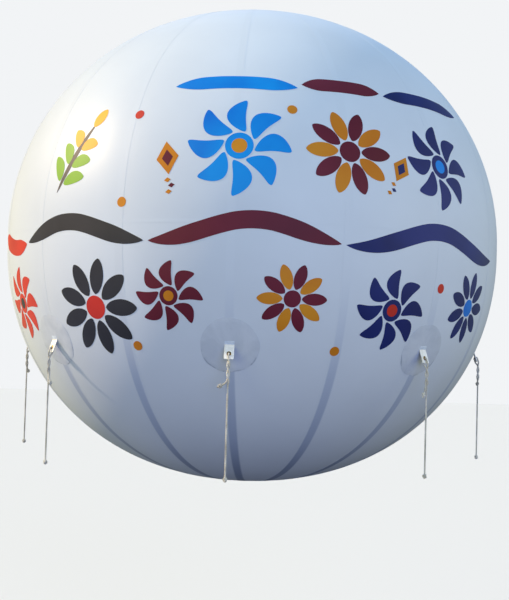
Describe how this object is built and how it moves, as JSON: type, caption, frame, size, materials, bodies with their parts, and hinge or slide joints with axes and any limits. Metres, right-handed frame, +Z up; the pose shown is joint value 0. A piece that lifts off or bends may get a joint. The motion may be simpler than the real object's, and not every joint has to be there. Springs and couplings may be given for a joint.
{
  "type": "tethered advertising balloon",
  "caption": "Near-spherical tethered PVC advertising balloon: welded gores, polar caps, hinged tie tabs with eyelets and rope tails round its lower half, and a valve underneath.",
  "frame": {"origin": "centre of the envelope, on its vertical axis at the equator", "axes": "+Z up along the axis through the poles, tie tab 1 at -Y, tabs numbered from there towards +X"},
  "size_m": [3.048, 3.048, 2.932],
  "materials": {
    "envelope_film": null,
    "patch_film": "second layer of white PVC film, welded on, slightly greyer and wrinkled",
    "tab_film": "folded strap of heavier white PVC, satin",
    "eyelet_brass": "rolled brass, weathered",
    "rope_fibre": "three-strand twisted off-white rope",
    "valve_plastic": "white moulded PVC"
  },
  "bodies": {
    "root": {"gore_01": "envelope_film", "gore_02": "envelope_film", "gore_03": "envelope_film", "gore_04": "envelope_film", "gore_05": "envelope_film", "gore_06": "envelope_film", "gore_07": "envelope_film", "gore_08": "envelope_film", "gore_09": "envelope_film", "gore_10": "envelope_film", "gore_11": "envelope_film", "gore_12": "envelope_film", "gore_13": "envelope_film", "gore_14": "envelope_film", "gore_15": "envelope_film", "gore_16": "envelope_film", "crown_cap": "envelope_film", "base_cap": "envelope_film", "load_patch_1": "patch_film", "load_patch_2": "patch_film", "load_patch_3": "patch_film", "load_patch_4": "patch_film", "load_patch_5": "patch_film", "load_patch_6": "patch_film", "load_patch_7": "patch_film", "load_patch_8": "patch_film", "valve_base": "valve_plastic"},
    "tab_1": {"tie_tab_1": "tab_film", "eyelet_1": "eyelet_brass", "lashing_1": "rope_fibre"},
    "line_1": {"rope_1": "rope_fibre"},
    "tab_2": {"tie_tab_2": "tab_film", "eyelet_2": "eyelet_brass", "lashing_2": "rope_fibre"},
    "line_2": {"rope_2": "rope_fibre"},
    "tab_3": {"tie_tab_3": "tab_film", "eyelet_3": "eyelet_brass", "lashing_3": "rope_fibre"},
    "line_3": {"rope_3": "rope_fibre"},
    "tab_4": {"tie_tab_4": "tab_film", "eyelet_4": "eyelet_brass", "lashing_4": "rope_fibre"},
    "line_4": {"rope_4": "rope_fibre"},
    "tab_5": {"tie_tab_5": "tab_film", "eyelet_5": "eyelet_brass", "lashing_5": "rope_fibre"},
    "line_5": {"rope_5": "rope_fibre"},
    "tab_6": {"tie_tab_6": "tab_film", "eyelet_6": "eyelet_brass", "lashing_6": "rope_fibre"},
    "line_6": {"rope_6": "rope_fibre"},
    "tab_7": {"tie_tab_7": "tab_film", "eyelet_7": "eyelet_brass", "lashing_7": "rope_fibre"},
    "line_7": {"rope_7": "rope_fibre"},
    "tab_8": {"tie_tab_8": "tab_film", "eyelet_8": "eyelet_brass", "lashing_8": "rope_fibre"},
    "line_8": {"rope_8": "rope_fibre"},
    "lid": {"valve_lid": "valve_plastic"}
  },
  "joints": [
    {"name": "tab_hinge_1", "type": "hinge", "parent": "root", "child": "tab_1", "pos_m": [0, -1.41076, -0.61711], "axis": [-1, 0, 0], "range_deg": [-20, 90], "stiffness_Nm_per_rad": 0.15},
    {"name": "rope_swing_1", "type": "hinge", "parent": "tab_1", "child": "line_1", "pos_m": [0, -1.44175, -0.70585], "axis": [-1, 0, 0], "range_deg": [-90, 20]},
    {"name": "tab_hinge_2", "type": "hinge", "parent": "root", "child": "tab_2", "pos_m": [0.99756, -0.99756, -0.61711], "axis": [-0.7071, -0.7071, 0], "range_deg": [-20, 90], "stiffness_Nm_per_rad": 0.15},
    {"name": "rope_swing_2", "type": "hinge", "parent": "tab_2", "child": "line_2", "pos_m": [1.01947, -1.01947, -0.70585], "axis": [-0.7071, -0.7071, 0], "range_deg": [-90, 20]},
    {"name": "tab_hinge_3", "type": "hinge", "parent": "root", "child": "tab_3", "pos_m": [1.41076, 0, -0.61711], "axis": [0, -1, 0], "range_deg": [-20, 90], "stiffness_Nm_per_rad": 0.15},
    {"name": "rope_swing_3", "type": "hinge", "parent": "tab_3", "child": "line_3", "pos_m": [1.44175, 0, -0.70585], "axis": [0, -1, 0], "range_deg": [-90, 20]},
    {"name": "tab_hinge_4", "type": "hinge", "parent": "root", "child": "tab_4", "pos_m": [0.99756, 0.99756, -0.61711], "axis": [0.7071, -0.7071, 0], "range_deg": [-20, 90], "stiffness_Nm_per_rad": 0.15},
    {"name": "rope_swing_4", "type": "hinge", "parent": "tab_4", "child": "line_4", "pos_m": [1.01947, 1.01947, -0.70585], "axis": [0.7071, -0.7071, 0], "range_deg": [-90, 20]},
    {"name": "tab_hinge_5", "type": "hinge", "parent": "root", "child": "tab_5", "pos_m": [0, 1.41076, -0.61711], "axis": [1, 0, 0], "range_deg": [-20, 90], "stiffness_Nm_per_rad": 0.15},
    {"name": "rope_swing_5", "type": "hinge", "parent": "tab_5", "child": "line_5", "pos_m": [0, 1.44175, -0.70585], "axis": [1, 0, 0], "range_deg": [-90, 20]},
    {"name": "tab_hinge_6", "type": "hinge", "parent": "root", "child": "tab_6", "pos_m": [-0.99756, 0.99756, -0.61711], "axis": [0.7071, 0.7071, 0], "range_deg": [-20, 90], "stiffness_Nm_per_rad": 0.15},
    {"name": "rope_swing_6", "type": "hinge", "parent": "tab_6", "child": "line_6", "pos_m": [-1.01947, 1.01947, -0.70585], "axis": [0.7071, 0.7071, 0], "range_deg": [-90, 20]},
    {"name": "tab_hinge_7", "type": "hinge", "parent": "root", "child": "tab_7", "pos_m": [-1.41076, 0, -0.61711], "axis": [0, 1, 0], "range_deg": [-20, 90], "stiffness_Nm_per_rad": 0.15},
    {"name": "rope_swing_7", "type": "hinge", "parent": "tab_7", "child": "line_7", "pos_m": [-1.44175, 0, -0.70585], "axis": [0, 1, 0], "range_deg": [-90, 20]},
    {"name": "tab_hinge_8", "type": "hinge", "parent": "root", "child": "tab_8", "pos_m": [-0.99756, -0.99756, -0.61711], "axis": [-0.7071, 0.7071, 0], "range_deg": [-20, 90], "stiffness_Nm_per_rad": 0.15},
    {"name": "rope_swing_8", "type": "hinge", "parent": "tab_8", "child": "line_8", "pos_m": [-1.01947, -1.01947, -0.70585], "axis": [-0.7071, 0.7071, 0], "range_deg": [-90, 20]},
    {"name": "valve_lid_hinge", "type": "hinge", "parent": "root", "child": "lid", "pos_m": [0, 0.04, -1.46737], "axis": [1, 0, 0], "range_deg": [0, 110]}
  ],
  "couplings": [
    {"joint": "rope_swing_1", "follows": "tab_hinge_1", "ratio": -1},
    {"joint": "rope_swing_2", "follows": "tab_hinge_2", "ratio": -1},
    {"joint": "rope_swing_3", "follows": "tab_hinge_3", "ratio": -1},
    {"joint": "rope_swing_4", "follows": "tab_hinge_4", "ratio": -1},
    {"joint": "rope_swing_5", "follows": "tab_hinge_5", "ratio": -1},
    {"joint": "rope_swing_6", "follows": "tab_hinge_6", "ratio": -1},
    {"joint": "rope_swing_7", "follows": "tab_hinge_7", "ratio": -1},
    {"joint": "rope_swing_8", "follows": "tab_hinge_8", "ratio": -1}
  ]
}
